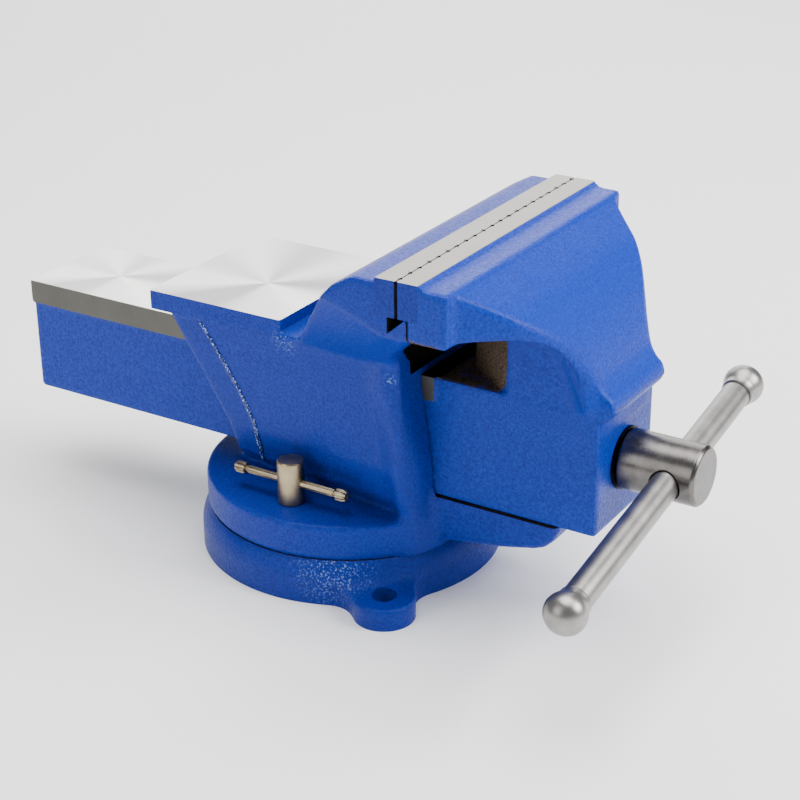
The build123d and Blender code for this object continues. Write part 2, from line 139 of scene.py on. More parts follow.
def nets(grid, origin, cell):
    """Vertices and outward quads of the zero surface of a grid, one vertex to a crossed cell."""
    solid = grid < 0
    corners = [solid[i:i - 1 or None, j:j - 1 or None, k:k - 1 or None] for i, j, k in np.ndindex(2, 2, 2)]
    count = sum(c.astype(np.int8) for c in corners)
    crossed = (count > 0) & (count < 8)
    number = np.full(crossed.shape, -1)
    cells = np.argwhere(crossed)
    number[crossed] = np.arange(len(cells))
    total = np.zeros((len(cells), 3))
    hits = np.zeros(len(cells))
    i, j, k = cells.T
    for axis in range(3):
        others = [a for a in range(3) if a != axis]
        for da, db in np.ndindex(2, 2):
            offset = np.zeros(3, int)
            offset[others[0]], offset[others[1]] = da, db
            end = offset.copy()
            end[axis] = 1
            a = grid[i + offset[0], j + offset[1], k + offset[2]]
            b = grid[i + end[0], j + end[1], k + end[2]]
            cut = (a < 0) != (b < 0)
            t = np.where(cut, a / np.where(cut, a - b, 1), 0)
            point = cells + offset
            total[cut] += point[cut]
            total[cut, axis] += t[cut]
            hits += cut
    vertices = origin + cell * total / hits[:, None]
    quads = []
    for axis in range(3):
        b, c = [(1, 2), (2, 0), (0, 1)][axis]
        low = [slice(None)] * 3
        high = [slice(None)] * 3
        low[axis], high[axis] = slice(None, -1), slice(1, None)
        edge = np.argwhere(solid[tuple(low)] != solid[tuple(high)])
        edge = edge[(edge[:, b] > 0) & (edge[:, c] > 0)]
        edge = edge[(edge[:, b] < crossed.shape[b]) & (edge[:, c] < crossed.shape[c])]
        ring = []
        for db, dc in ((-1, -1), (0, -1), (0, 0), (-1, 0)):
            at = edge.copy()
            at[:, b] += db
            at[:, c] += dc
            ring.append(number[at[:, 0], at[:, 1], at[:, 2]])
        ring = np.stack(ring, axis=1)
        leaving = solid[edge[:, 0], edge[:, 1], edge[:, 2]]
        ring[~leaving] = ring[~leaving][:, ::-1]
        quads.append(ring)
    return vertices, np.concatenate(quads)


# %% [markdown]
# ## Casting, machining, mesh
# One function runs the whole order of work on a grid: pour the shape, cut it, take the surface, and mark
# which faces each cut left, so that they can have a milled finish while the rest is painted.

# %% Make a casting


def smooth_curve(points, samples=12):
    """Dense arrays along a Catmull-Rom curve through points, for reading one coordinate from the other."""
    p = np.asarray(points, float)
    p = np.vstack([2 * p[0] - p[1], p, 2 * p[-1] - p[-2]])
    t = np.linspace(0, 1, samples, endpoint=False)[:, None]
    spans = []
    for a, b, c, d in zip(p[:-3], p[1:-2], p[2:-1], p[3:]):
        spans.append(b + 0.5 * t * (c - a + t * (2 * a - 5 * b + 4 * c - d + t * (3 * (b - c) + d - a))))
    return np.vstack([*spans, p[-2:-1]]).T


def mesh_object(name, vertices, faces, sharp_angle=35):
    """A smooth-shaded object from vertices in mm. Edges that turn by more than sharp_angle stay sharp."""
    mesh = bpy.data.meshes.new(name)
    mesh.from_pydata((np.asarray(vertices) * MM).tolist(), [], np.asarray(faces).tolist())
    mesh.update()
    mesh.polygons.foreach_set("use_smooth", np.ones(len(mesh.polygons), bool))
    mesh.set_sharp_from_angle(angle=math.radians(sharp_angle))
    piece = bpy.data.objects.new(name, mesh)
    bpy.context.scene.collection.objects.link(piece)
    return piece


def casting(name, shape, cuts, low, high, cell, sharp_angle=35):
    """A mesh of shape(x, y, z) minus cuts, a list of (function, finish). A cut's faces take its finish."""
    origin = np.array(low, float) - 2.5 * cell
    counts = np.ceil((np.array(high, float) - origin) / cell).astype(int) + 4
    axes = [o + cell * np.arange(n) for o, n in zip(origin, counts)]
    x, y, z = np.meshgrid(*axes, indexing="ij", sparse=True)
    cast = np.array(np.broadcast_to(shape(x, y, z), counts), float)
    removed = [np.broadcast_to(-cut(x, y, z), counts) for cut, _ in cuts]
    grid = cast.copy()
    for field in removed:
        grid = np.maximum(grid, field)
    vertices, quads = nets(grid, origin, cell)

    fields = [lambda p: sample(cast, origin, cell, p)]
    fields += [lambda p, cut=cut: -cut(p[:, 0], p[:, 1], p[:, 2]) for cut, _ in cuts]
    home = np.clip(((vertices - origin) / cell).astype(int), 0, counts - 2)
    crossing = []
    for values in [cast, *removed]:
        corner = np.stack([
            values[home[:, 0] + i, home[:, 1] + j, home[:, 2] + k] for i, j, k in np.ndindex(2, 2, 2)
        ])
        crossing.append((corner.min(0) <= 0) & (corner.max(0) >= 0))
    for _ in range(6):
        for field, near in zip(fields, crossing):
            value, gradient = slope(field, vertices[near])
            length = np.maximum((gradient ** 2).sum(1), 0.05)
            step = gradient * np.clip(value / length, -cell, cell)[:, None]
            vertices[near] -= step
    piece = mesh_object(name, vertices, quads, sharp_angle)
    finish = np.zeros(len(quads), np.int32)
    for (cut, index), near in zip(cuts, crossing[1:]):
        on_cut = near & (np.abs(cut(vertices[:, 0], vertices[:, 1], vertices[:, 2])) < 0.05)
        finish[on_cut[quads].all(axis=1)] = index
    piece.data.polygons.foreach_set("material_index", finish)
    print(name, len(vertices), "vertices,", 2 * len(quads), "triangles")
    return piece


def box_mm(node):
    """Lowest and highest corner of a CAD node in millimetres."""
    return [np.array(corner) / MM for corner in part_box(node)]


# %% [markdown]
# ## The vise body
# Turntable, pedestal, slide channel, anvil, nose and fixed jaw are one casting. Its pedestal leans back
# under the anvil, carries a raised pad on each side and ends in front in a column that flows into the
# turntable's rim. The jaw's underside is a ruled surface: straight lines run from the pedestal's top edge
# out to the jaw's lower edge.

# %% Body sizes, from the frame
body_low, body_high = box_mm("vise_body")
plate_low, plate_high = box_mm("fixed_jaw_plate")
base_low, base_high = box_mm("base_plate")
jaw_low, jaw_high = box_mm("movable_jaw")

base_top = base_high[2]
turntable_r = 66
turntable_top = box_mm("lock_bolt_left")[1][2] - 20.5
channel_floor = box_mm("spindle_nut")[0][2]
slide_top = 101
channel_half = 27.3
anvil_top = 118
anvil_half = 42
anvil_front = -7.5
plate_seat = plate_low[0]
plate_ledge = plate_low[2]
jaw_half = plate_high[1]
lock_y = 48
print("turntable top", turntable_top, "channel floor", channel_floor, "jaw half width", jaw_half)

# %% Body shape


def by_height(z, *pairs):
    """A size that changes in straight lines between given heights."""
    heights, sizes = zip(*pairs)
    return np.interp(z, heights, sizes)


def pedestal_side(x, y, z, rear, rear_half, front_half, edge):
    """Distance to one hull of the pedestal: rear edge and half widths are lists of (height, size)."""
    rear_x = by_height(z, *rear)
    along = np.clip((x - rear_x) / (50 - rear_x), 0, 1)
    half = by_height(z, *rear_half) * (1 - along) + by_height(z, *front_half) * along
    sides = 0.95 * (np.abs(y) - half)
    return np.maximum(soft_max(soft_max(sides, 0.86 * (rear_x - x), edge), x - 52, edge), z - 112)


jaw_web = [
    (-9.5, 100), (-9.5, 109.5), (1, 109.5), (35.6, 148.6), (41.5, 154.8), (50.8, 160), (63, 160), (78, 160),
    (78, 137.5), (76, 137.5), (54, 118), (50.5, 109.5), (52, 100),
]
lower_edge = [(-30, 148.6), (35.6, 148.6), (48.2, 144.8), (65.2, 137.9), (90, 137.5)]
root_edge = [(-30, 109.5), (1, 109.5), (12, 109.5), (30, 109.5), (90, 109.5)]
column_front = smooth_curve([(49.5, 111), (51.8, 98), (54.8, 85), (57.6, 70), (59.6, 55), (60.5, 40)]).T
column_back = smooth_curve([(50, 36), (49, 60), (46.5, 80), (41, 98)]).T
column_outline = np.vstack([column_front, [(60.5, 15), (50, 15)], column_back, [(41, 112)]])
nose_outline = [
    (48, 48), (48, 21), (61, 24), (92.6, 29), (108, 32.6), (112.8, 34.6), (116.4, 38.2), (118.5, 42.3),
    (119.2, 48),
]


def jaw_underside(x, y):
    """Height of the ruled surface below the fixed jaw, from the pedestal's root to the jaw's lower edge."""
    t = np.clip((np.abs(y) - anvil_half) / (jaw_half - anvil_half), 0, 1)
    ends = [((1 - t) * a + t * c, (1 - t) * b + t * d) for (a, b), (c, d) in zip(root_edge, lower_edge)]
    height = ends[0][1]
    for (x0, z0), (x1, z1) in zip(ends, ends[1:]):
        height = height + (z1 - z0) * np.clip((x - x0) / (x1 - x0), 0, 1)
    return height


def body_shape(x, y, z):
    """The whole body casting, before machining."""
    side = np.abs(y)
    radius = np.hypot(x, y)
    turntable = soft_max(radius - turntable_r, z - turntable_top, 2)
    turntable = soft_max(turntable, 0.7 * (radius - turntable_r + 1.7 + base_top - z), 1)
    turntable = np.maximum(turntable, base_top - 6 - z)
    rear = pedestal_side(
        x, y, z, [(36.5, -45), (45.5, -42), (60, -43), (109, -70)],
        [(36.5, 22), (45.5, 31), (60, 36), (109, 40)], [(36.5, 30), (45.5, 36), (60, 40), (109, 40)], 3,
    )
    pad = pedestal_side(
        x, y, z, [(36.5, -29), (45.5, -26), (60, -25), (109, -51)],
        [(36.5, 24), (45.5, 33), (60, 38), (109, 42)], [(36.5, 33), (45.5, 38), (60, 42), (109, 42)], 1,
    )
    column = soft_max(outline(x, z, column_outline), side - 44, 9)
    rim = by_height(z, (20, 66), (36, 66.3), (50, 67.3), (62, 69), (80, 72), (112, 76))
    column = soft_max(column, radius - rim, 5)
    pedestal = soft_min(np.minimum(rear, pad), column, 8)
    web = soft_max(outline(x, z, jaw_web), side - jaw_half, 1.5)
    web = soft_max(web, 0.72 * (jaw_underside(x, y) - z), 1.2)
    anvil = block(x, y, z, (-78, -anvil_half, 109), (anvil_front, anvil_half, 122), 0.6)
    nose = soft_max(outline(x, z, nose_outline), side - 27, 4)
    top = soft_min(soft_min(anvil, pedestal, 0.8), web, 2.5)
    return soft_min(soft_min(top, turntable, 3.5), nose, 4)


# %% Body machining
channel_middle = (channel_floor + slide_top + 0.3) / 2
PAINT, MILLED, BORED, UNPAINTED_SHADE = 0, 1, 2, 3
throat = [(75.95, 137.3), (54, 117.7), (50.6, 109.3), (51, 104), (80, 104), (80, 137.3)]


def channel(x, y, z):
    """The slide's channel, right through the body."""
    return np.maximum(np.abs(y) - channel_half, np.abs(z - channel_middle) - (101.3 - channel_floor) / 2)


def throat_skin(x, y, z):
    """The face under the fixed jaw, which widens upwards with the web. Its faces take a near-black painted
    shade.
    """
    return np.maximum(outline(x, z, throat), 0.7 * (np.abs(y) - 35 - np.maximum(z - 110, 0)))


body_cuts = [
    (lambda x, y, z: np.maximum(anvil_top - z, x), MILLED),
    (lambda x, y, z: np.maximum(plate_seat - x, plate_ledge - z), BORED),
    (lambda x, y, z: np.maximum(75.95 - x, 125 - z), BORED),
    (lambda x, y, z: outline(x, z, [(67.3, 139.5), (75.4, plate_ledge), (75.4, 150), (67.3, 150)]), BORED),
    (channel, BORED),
    (throat_skin, UNPAINTED_SHADE),
    (lambda x, y, z: z - base_top, BORED),
    (lambda x, y, z: np.maximum(rod(x, np.abs(y), (0, lock_y), 5.1), z - 40), BORED),
    (lambda x, y, z: np.maximum(rod(x, y, (0, 0), 8.1), z - 38), BORED),
]
body_casting = casting(
    "body_casting", body_shape, body_cuts,
    (body_low[0], -jaw_half, base_top), (body_high[0], jaw_half, 162), 1.25,
)
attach(body_casting, "body")
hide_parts("vise_body")


# %% [markdown]
# ## The movable jaw
# A long hollow slide, open below and behind, ends in a front wall that the screw pushes and pulls. A neck
# rises from it and flares under a hood into the jaw block. The hood is a shell: seen from the side it falls
# in one sweep to a rounded lip over the screw's head, and below its rim a wide cove runs back into the
# neck.

# %% Jaw shape
movable_seat = box_mm("movable_jaw_plate")[1][0]
slide_rear, slide_front, slide_half, guide_half = jaw_low[0], 136, 26, 27
screw_z = 72.5
hood_top = [
    (94, 158.6), (100, 154.9), (106, 151.2), (112, 147.2), (118, 141.8), (124, 134.8), (130, 123.8),
    (134, 114.5),
]
lip = [(134, 114.5), (137, 110.2), (140, 107.6), (141.6, 103.5), (139.8, 99.4), (136, 97.5)]
hood_hollow = [(136, 97.5), (133, 104), (129, 116), (124.5, 128), (119, 135), (112, 138), (104, 138.4)]
hood_section = np.vstack([
    smooth_curve(hood_top).T, smooth_curve(lip).T[1:], smooth_curve(hood_hollow).T[1:],
    [(86, 138.4), (86, 158.6)],
])
half_plan = smooth_curve([
    (94, 69.5), (100, 63.8), (106, 59), (112, 54.2), (118, 47.4), (124, 38.7), (130, 30.2), (134, 26.4),
    (138, 25),
]).T
hood_plan = np.vstack([
    half_plan, [(146, 25), (146, -25)], half_plan[::-1] * (1, -1), [(86, -69.5), (86, 69.5)],
])
neck_edge = 8   # the neck's upright edges: its plan is grown by this radius
neck_plan = [(128, -18), (128, 18), (96.8, 18), (75, 2), (75, -2), (96.8, -18)]
neck_section = np.vstack([
    smooth_curve(hood_top).T, [(136, 111), (136, 90), (60, 90), (60, 117), (79, 138), (84, 150), (84, 158.6)]
])
cove = [
    (79, 150), (79, 161.8), (81.6, 161.8), (82.3, 161.1), (83.3, 160.5), (84.6, 160.1), (86.5, 160),
    (86.5, 150),
]
under_hood = np.vstack([
    smooth_curve(hood_top).T, smooth_curve(lip).T[1:], [(136, 40), (40, 40), (40, 158.6)],
])


def jaw_shape(x, y, z):
    """The whole jaw casting, before machining. The guide rails are poured with stock to be milled off."""
    side = np.abs(y)
    slide = block(x, y, z, (slide_rear, -slide_half, 46), (slide_front, slide_half, 101), 1.5)
    rails = block(x, y, z, (slide_rear, -28.5, 90), (60, 28.5, 104), 1)
    neck = np.maximum(outline(x, y, neck_plan) - neck_edge, outline(x, z, neck_section))
    hood = soft_max(outline(x, z, hood_section), outline(x, y, hood_plan), 2.2)
    head = block(x, y, z, (76, -jaw_half, 137.5), (94, jaw_half, 160), 1.6)
    head = np.minimum(head, np.maximum(outline(x, z, cove), side - jaw_half))
    depth = -outline(x, z, under_hood)
    shell = soft_min(hood, neck, np.clip(1.6 * depth, 0.4, 13))
    shell = soft_min(shell, head, 1.2)
    return soft_min(np.minimum(slide, rails), shell, 1.5)


jaw_cuts = [
    (lambda x, y, z: np.maximum(101 - z, x - 62), MILLED),
    (lambda x, y, z: np.maximum(np.maximum(guide_half - np.abs(y), x - 61.5), 89 - z), BORED),
    (lambda x, y, z: np.maximum(x - movable_seat, plate_ledge - z), BORED),
    (lambda x, y, z: np.maximum(x - 76.05, 125 - z), BORED),
    (lambda x, y, z: rod(x, z, (95.4, 159.2), 1.3), PAINT),
    (lambda x, y, z: np.maximum(np.maximum(np.abs(y) - 18.5, z - 91), x - 122), BORED),
    (lambda x, y, z: np.maximum(rod(y, z, (0, screw_z), 9.06), 110 - x), BORED),
]
jaw_casting = casting(
    "jaw_casting", jaw_shape, jaw_cuts, (slide_rear, -jaw_half, 46), (jaw_high[0], jaw_half, 162), 1.25,
)
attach(jaw_casting, "jaw")
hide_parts("movable_jaw")


# %% [markdown]
# ## The base plate
# A low disc with two bolting lugs. Its rim is upright, then leans in to the turntable's diameter. The
# circular T-slot is cut from above and can be reached through two round holes from below.

# %% Base shape
lug_angle = math.radians(-47)
lug_r = 78.5
lug_cos, lug_sin = math.cos(lug_angle), math.sin(lug_angle)


def base_shape(x, y, z):
    """The base casting, before machining."""
    radius = np.hypot(x, y)
    disc = soft_max(radius - 69, 0.9 * (radius - 69 + 3 * (z - 13) / 7), 1.2)
    disc = soft_max(disc, 0.7 * (radius - 65.2 + z - base_top), 0.8)
    along = np.abs(x * lug_cos + y * lug_sin)
    across = np.abs(y * lug_cos - x * lug_sin)
    half = 17 - 3.5 * np.clip((along - 55) / (lug_r - 55), 0, 1)
    lug = np.maximum(across - half, along - lug_r)
    lug = np.minimum(lug, np.hypot(along - lug_r, across) - 13.5)
    lug = soft_max(lug, z - 10, 1.8)
    return np.maximum(soft_min(disc, lug, 8), -4 - z)


def opposite_holes(x, y, centre, radius):
    """Two equal upright holes, at centre and across the axis from it."""
    return np.minimum(rod(x, y, centre, radius), rod(x, y, (-centre[0], -centre[1]), radius))


base_cuts = [
    (lambda x, y, z: z, BORED),
    (lambda x, y, z: base_top - z, BORED),
    (lambda x, y, z: np.maximum(np.abs(np.hypot(x, y) - 48) - 5.6, 10 - z), BORED),
    (lambda x, y, z: np.maximum(np.abs(np.hypot(x, y) - 48) - 10.5, np.abs(z - 8.5) - 4), BORED),
    (lambda x, y, z: opposite_holes(x, y, (lug_r * lug_cos, lug_r * lug_sin), 5.5), PAINT),
    (lambda x, y, z: opposite_holes(x, y, (-lock_y * lug_sin, lock_y * lug_cos), 11) + np.maximum(z - 6, 0),
     BORED),
    (lambda x, y, z: rod(x, y, (0, 0), 8.1), BORED),
    (lambda x, y, z: np.maximum(rod(x, y, (0, 0), 16), z - 11), BORED),
]
base_casting = casting("base_casting", base_shape, base_cuts, base_low, base_high, 1.15)
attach(base_casting, "base")
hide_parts("base_plate")


# %% [markdown]
# ## Jaw plates
# Ground steel strips with a diamond pattern milled into the clamping face: two sets of grooves at 45
# degrees that meet in pairs along the top edge. Closed, the grooves of both plates show from above as a row
# of dark slots.

# %% Plate meshes
contact = 71.5
groove_pitch = jaw_half * 2 / 21
PAINTED_END = 3
plate_middle = (plate_low[2] + plate_high[2]) / 2


def plate(name, back, inward):
    """One jaw plate. inward is the sign of the direction from its back to the clamping face."""

    low = (min(back, contact), -jaw_half, plate_low[2])
    high = (max(back, contact), jaw_half, plate_high[2])

    def bar(x, y, z):
        return block(x, y, z, (low[0], -jaw_half - 3, low[2]), (high[0], jaw_half + 3, high[2]), 0.3)

    def grooves(x, y, z):
        fall = plate_high[2] - z
        turns = [(y + side * fall) / groove_pitch for side in (1, -1)]
        nearest = np.minimum(*[np.abs(turn - np.round(turn)) for turn in turns]) * groove_pitch
        depth = np.minimum(1.15 - 0.8 * nearest, jaw_half - 2 - np.abs(y))
        return 0.7 * (inward * (contact - x) - depth)

    def screw_holes(x, y, z):
        radius = np.hypot(np.abs(y) - 50, z - plate_middle)
        return np.minimum(radius - 3.3, 0.7 * (radius - 6.4 + inward * (contact - x)))

    def broken_edges(x, y, z):
        gap = inward * (contact - x)
        return 0.7 * np.minimum(gap + jaw_half - np.abs(y) - 0.75, gap + plate_high[2] - z - 0.3)

    cuts = [
        (grooves, BORED),
        (screw_holes, BORED),
        (lambda x, y, z: jaw_half - np.abs(y), PAINTED_END),
        (broken_edges, BORED),
    ]
    return casting(name, bar, cuts, low, high, 0.62, sharp_angle=28)


fixed_plate = plate("fixed_plate", plate_seat, 1)
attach(fixed_plate, "body")
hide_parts("fixed_jaw_plate")
movable_plate = plate("movable_plate", movable_seat, -1)
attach(movable_plate, "jaw")
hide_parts("movable_jaw_plate")


# %% [markdown]
# ## Turned parts
# The screw, the handle, its knobs and the lock bolts are turned, so one function revolves a profile about
# an axis. A profile that begins and ends on the axis closes itself.

# %% Revolve a profile


def frame_along(direction):
    """Two unit vectors square to direction and to each other."""
    direction = np.array(direction, float) / np.linalg.norm(direction)
    helper = np.eye(3)[np.argmin(np.abs(direction))]
    first = np.cross(helper, direction)
    first /= np.linalg.norm(first)
    return direction, first, np.cross(direction, first)


def revolve(profile, centre, direction, sides=64):
    """Vertices and quads of a profile of (distance along the axis, radius), revolved about the axis."""
    along, first, second = frame_along(direction)
    profile = np.asarray(profile, float)
    angle = np.arange(sides) * 2 * math.pi / sides
    spokes = np.cos(angle)[:, None] * first + np.sin(angle)[:, None] * second
    rings = profile[:, 1][:, None, None] * spokes
    vertices = centre + profile[:, :1, None].transpose(0, 2, 1) * along + rings
    row, column = np.meshgrid(np.arange(len(profile) - 1), np.arange(sides), indexing="ij")
    a = row * sides + column
    b = row * sides + (column + 1) % sides
    quads = np.stack([a, b, b + sides, a + sides], axis=-1).reshape(-1, 4)
    return vertices.reshape(-1, 3), quads[:, ::-1]


def welded(name, parts, sharp_angle=35):
    """One object from several (vertices, faces) lists, with the points that coincide welded together."""
    offsets = np.cumsum([0] + [len(v) for v, _ in parts[:-1]])
    vertices = np.vstack([v for v, _ in parts])
    faces = np.vstack([f + offset for (_, f), offset in zip(parts, offsets)])
    piece = mesh_object(name, vertices, faces, sharp_angle)
    shell = bmesh.new()
    shell.from_mesh(piece.data)
    bmesh.ops.remove_doubles(shell, verts=shell.verts, dist=1e-6)
    bmesh.ops.dissolve_degenerate(shell, edges=shell.edges, dist=1e-6)
    shell.to_mesh(piece.data)
    shell.free()
    piece.data.polygons.foreach_set("use_smooth", np.ones(len(piece.data.polygons), bool))
    piece.data.set_sharp_from_angle(angle=math.radians(sharp_angle))
    return piece


# %% [markdown]
# ## Beads on the pads
# A thin bead runs down the rear edge of each raised pad, where the two halves of the core box met. It is
# too fine for the grid, so it is a tube of its own, half sunk in the casting.

# %% Bead along the pads


def tube(path, radius, sides=10):
    """A closed tube along a path: a ring square to the path at every point, its ends drawn to a tip."""
    path = np.asarray(path, float)
    ahead = np.gradient(path, axis=0)
    ahead /= np.linalg.norm(ahead, axis=1)[:, None]
    across = np.cross(ahead, (0, 0.2, 1))
    across /= np.linalg.norm(across, axis=1)[:, None]
    over = np.cross(ahead, across)
    size = radius * np.clip(np.minimum(np.arange(len(path)), np.arange(len(path))[::-1]) / 2, 0, 1)
    angle = np.arange(sides) * 2 * math.pi / sides
    rings = np.cos(angle)[:, None] * across[:, None] + np.sin(angle)[:, None] * over[:, None]
    vertices = path[:, None] + size[:, None, None] * rings
    row, column = np.meshgrid(np.arange(len(path) - 1), np.arange(sides), indexing="ij")
    a = row * sides + column
    b = row * sides + (column + 1) % sides
    return vertices.reshape(-1, 3), np.stack([a, b, b + sides, a + sides], axis=-1).reshape(-1, 4)


pad_edge = [(-50.5, 41.6, 108.5), (-48, 41.3, 105), (-35, 39.8, 84), (-26.5, 38.4, 66), (-25.3, 37.4, 58),
            (-26, 33.2, 46), (-29, 25, 38)]


def bead_path(side):
    """The pad's rear edge on one side, as a smooth line."""
    plan = smooth_curve([(x, side * y) for x, y, z in pad_edge]).T
    return np.column_stack([plan, smooth_curve([(x, z) for x, y, z in pad_edge])[1]])


beads = welded("pad_beads", [tube(bead_path(-1), 0.95), tube(bead_path(1), 0.95)])
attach(beads, "body")
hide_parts("vise_body")


# %% [markdown]
# ## Lead screw
# A head with a cross hole for the handle, a plain shank through the front wall and a trapezoidal thread of
# 5 mm pitch. The thread is a sheared grid: going once around moves one pitch along, so the grid's seam
# joins row n to row n + 8.

# %% Thread, shank and head
thread_pitch, thread_depth, rows_a_turn, thread_sides = 5.0, 2.4, 8, 48
thread_rear, thread_front = box_mm("lead_screw")[0][0], 97
head_rear, head_front, head_r = 137.4, box_mm("lead_screw")[1][0], 13
handle_x, handle_tilt, handle_r = 159.5, math.radians(10), 6.25
handle_axis = np.array([0, math.cos(handle_tilt), math.sin(handle_tilt)])


def thread():
    """A helical ridge: radius depends on the phase along the axis plus one pitch for every turn around it."""
    rows = int((thread_front - thread_rear) / thread_pitch * rows_a_turn) + rows_a_turn
    row, column = np.meshgrid(np.arange(-rows_a_turn, rows + 1), np.arange(thread_sides), indexing="ij")
    along = thread_rear + thread_pitch * (row / rows_a_turn + column / thread_sides)
    angle = -2 * math.pi * column / thread_sides
    level = np.array([0, 0, 1, 1, 1, 0, 0, 0])[row % rows_a_turn] + np.zeros_like(along)
    radius = 9 - thread_depth * (1 - level)
    radius = np.minimum(radius, 7 + np.abs(along - thread_rear))
    beyond = (along < thread_rear) | (along > thread_front)
    radius = np.where(beyond, 0, radius)
    along = np.clip(along, thread_rear, thread_front)
    vertices = np.stack([along, radius * np.cos(angle), screw_z + radius * np.sin(angle)], axis=-1)
    vertices = vertices.reshape(-1, 3)
    a = np.arange((rows + rows_a_turn) * thread_sides).reshape(-1, thread_sides)
    b = np.roll(a, -1, axis=1)
    b[:, -1] += rows_a_turn * thread_sides
    c = b + thread_sides
    inside = (c < len(vertices)).all(axis=1)
    quads = np.stack([a, b, c, a + thread_sides], axis=-1)[inside].reshape(-1, 4)
    return vertices, quads


screw_point = (0, 0, screw_z)
shank = revolve([(96, 0), (96, 9), (head_rear + 1, 9), (head_rear + 1, 0)], screw_point, (1, 0, 0), 48)


def head_shape(x, y, z):
    """The turned head with its chamfered end."""
    radius = np.hypot(y, z - screw_z)
    end = np.maximum(radius - head_r, np.maximum(x - head_front, head_rear - x))
    end = np.maximum(end, 0.7 * (radius - head_r + x - head_front + 1.2))
    return np.maximum(end, 0.7 * (radius - head_r + head_rear - x + 0.8))


def handle_hole(x, y, z):
    """The cross hole, broken at both ends by a small countersink."""
    rise = z - screw_z
    across = np.hypot(x - handle_x, rise * handle_axis[1] - y * handle_axis[2])
    outwards = np.hypot(y, rise)
    return np.minimum(across - handle_r - 0.15, 0.7 * (across - handle_r - 0.2 + head_r - outwards - 0.5))


head = casting(
    "screw_head", head_shape, [(handle_hole, BORED)], (head_rear, -head_r, screw_z - head_r),
    (head_front, head_r, screw_z + head_r), 0.45
)
threaded_rod = welded("threaded_rod", [thread(), shank], 25)
for piece in (head, threaded_rod):
    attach(piece, "screw")
    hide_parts("lead_screw")

# %% [markdown]
# ## Handle and knobs
# The bar slides in the head. A knob is pressed on each end: nearly a ball, with a short neck that stands a
# little proud of the bar, so that a thin dark joint shows behind it.

# %% Bar and knobs
handle_middle = np.array([handle_x, 0, screw_z]) - 15.3 * handle_axis
knob_from_middle = 84.3
bar_end = knob_from_middle - 8.2

bar = welded("handle_rod", [revolve(
    [(-bar_end - 3, 0), (-bar_end - 3, 5), (-bar_end, 5), (-bar_end, handle_r - 0.5),
     (-bar_end + 0.5, handle_r), (bar_end - 0.5, handle_r), (bar_end, handle_r - 0.5), (bar_end, 5),
     (bar_end + 3, 5), (bar_end + 3, 0)],
    handle_middle, handle_axis,
)])
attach(bar, "handle")
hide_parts("handle_bar")

ball = smooth_curve([
    (-7.6, 6.9), (-6.4, 7.0), (-5, 7.3), (-3.8, 7.85), (-2, 8.5), (0, 8.8), (2, 8.55), (4, 7.75), (6, 6.1),
    (7.3, 4.3), (8.1, 2.1), (8.4, 0),
], 5).T
for name, side in (("left", -1), ("right", 1)):
    knob = welded("knob_" + name, [revolve(
        np.vstack([[(-7.7, 0), (-7.7, 6.3), (-7.6, 6.9)], ball]),
        handle_middle + side * knob_from_middle * handle_axis, side * handle_axis,
    )])
    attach(knob, "handle")
    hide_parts("handle_knob_" + name)

# %% [markdown]
# ## Swivel locks
# Each lock is a round-headed bolt with a thin fluted bar through it. The flutes give grip, and a short
# collar with a groove behind it stops the bar from sliding out.

# %% Lock bolts and their bars
lock_bar_z = 46.4
bolt_top = box_mm("lock_bolt_left")[1][2]


def fluted(profile, centre, flutes=8, depth=0.16, sides=72):
    """A revolved bar along X whose radius rises and falls around it, by a share of depth."""
    vertices, quads = revolve(profile, centre, (1, 0, 0), sides)
    offset = vertices - centre
    angle = np.arctan2(offset[:, 2], offset[:, 1])
    painted_sectors = 1 - depth * (0.5 - 0.5 * np.cos(flutes * angle)) * (np.abs(offset[:, 0]) > 6.5)
    vertices[:, 1:] = centre[1:] + offset[:, 1:] * painted_sectors[:, None]
    return vertices, quads


half_bar = [
    (0, 1.85), (7, 1.85), (21.8, 1.9), (22.6, 1.7), (22.9, 1.3), (23.6, 1.3), (23.9, 2.5), (24.3, 2.85),
    (27.9, 2.85), (28.5, 2.5), (29.1, 2.2), (29.2, 0),
]
bar_profile = [(-a, r) for a, r in half_bar[:0:-1]] + half_bar
bolt_profile = [
    (36.6, 0), (36.6, 5.7), (36.9, 6), (bolt_top - 0.7, 6), (bolt_top - 0.15, 5.6), (bolt_top, 5.1),
    (bolt_top, 0),
]
shank_profile = [(5.5, 0), (5.5, 4.2), (6.2, 4.9), (36.7, 4.9), (36.7, 0)]
for name, y in (("left", -lock_y), ("right", lock_y)):
    bolt_head = revolve(bolt_profile, (0, y, 0), (0, 0, 1), 56)
    bolt_shank = revolve(shank_profile, (0, y, 0), (0, 0, 1), 40)
    bolt = welded("lock_head_" + name, [bolt_head, bolt_shank])
    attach(bolt, "lock_" + name)
    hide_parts("lock_bolt_" + name)
    tommy = welded("tommy_bar_" + name, [fluted(bar_profile, (0, y, lock_bar_z))], 30)
    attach(tommy, "bar_" + name)
    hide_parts("lock_bar_" + name)


# %% [markdown]
# ## Materials
# Every pattern is written in real millimetres on object coordinates, so it stays with its piece when the
# piece moves.

# %% Small helpers for node trees


def linear(code):
    """A linear RGBA colour from an sRGB hex code."""
    channels = [int(code[i:i + 2], 16) / 255 for i in (1, 3, 5)]
    return [c / 12.92 if c <= 0.04045 else ((c + 0.055) / 1.055) ** 2.4 for c in channels] + [1]


def add(tree, kind, inputs=None, **settings):
    """Add a node, set its properties, and give each input a value or a link from another node's socket."""
    node = tree.nodes.new(kind)
    for key, value in settings.items():
        setattr(node, key, value)
    for key, value in (inputs or {}).items():
        if isinstance(value, bpy.types.NodeSocket):
            tree.links.new(value, node.inputs[key])
        else:
            node.inputs[key].default_value = value
    return node


def math_node(tree, operation, *values):
    """The output of a math node on numbers or sockets."""
    return add(tree, "ShaderNodeMath", dict(enumerate(values)), operation=operation).outputs[0]


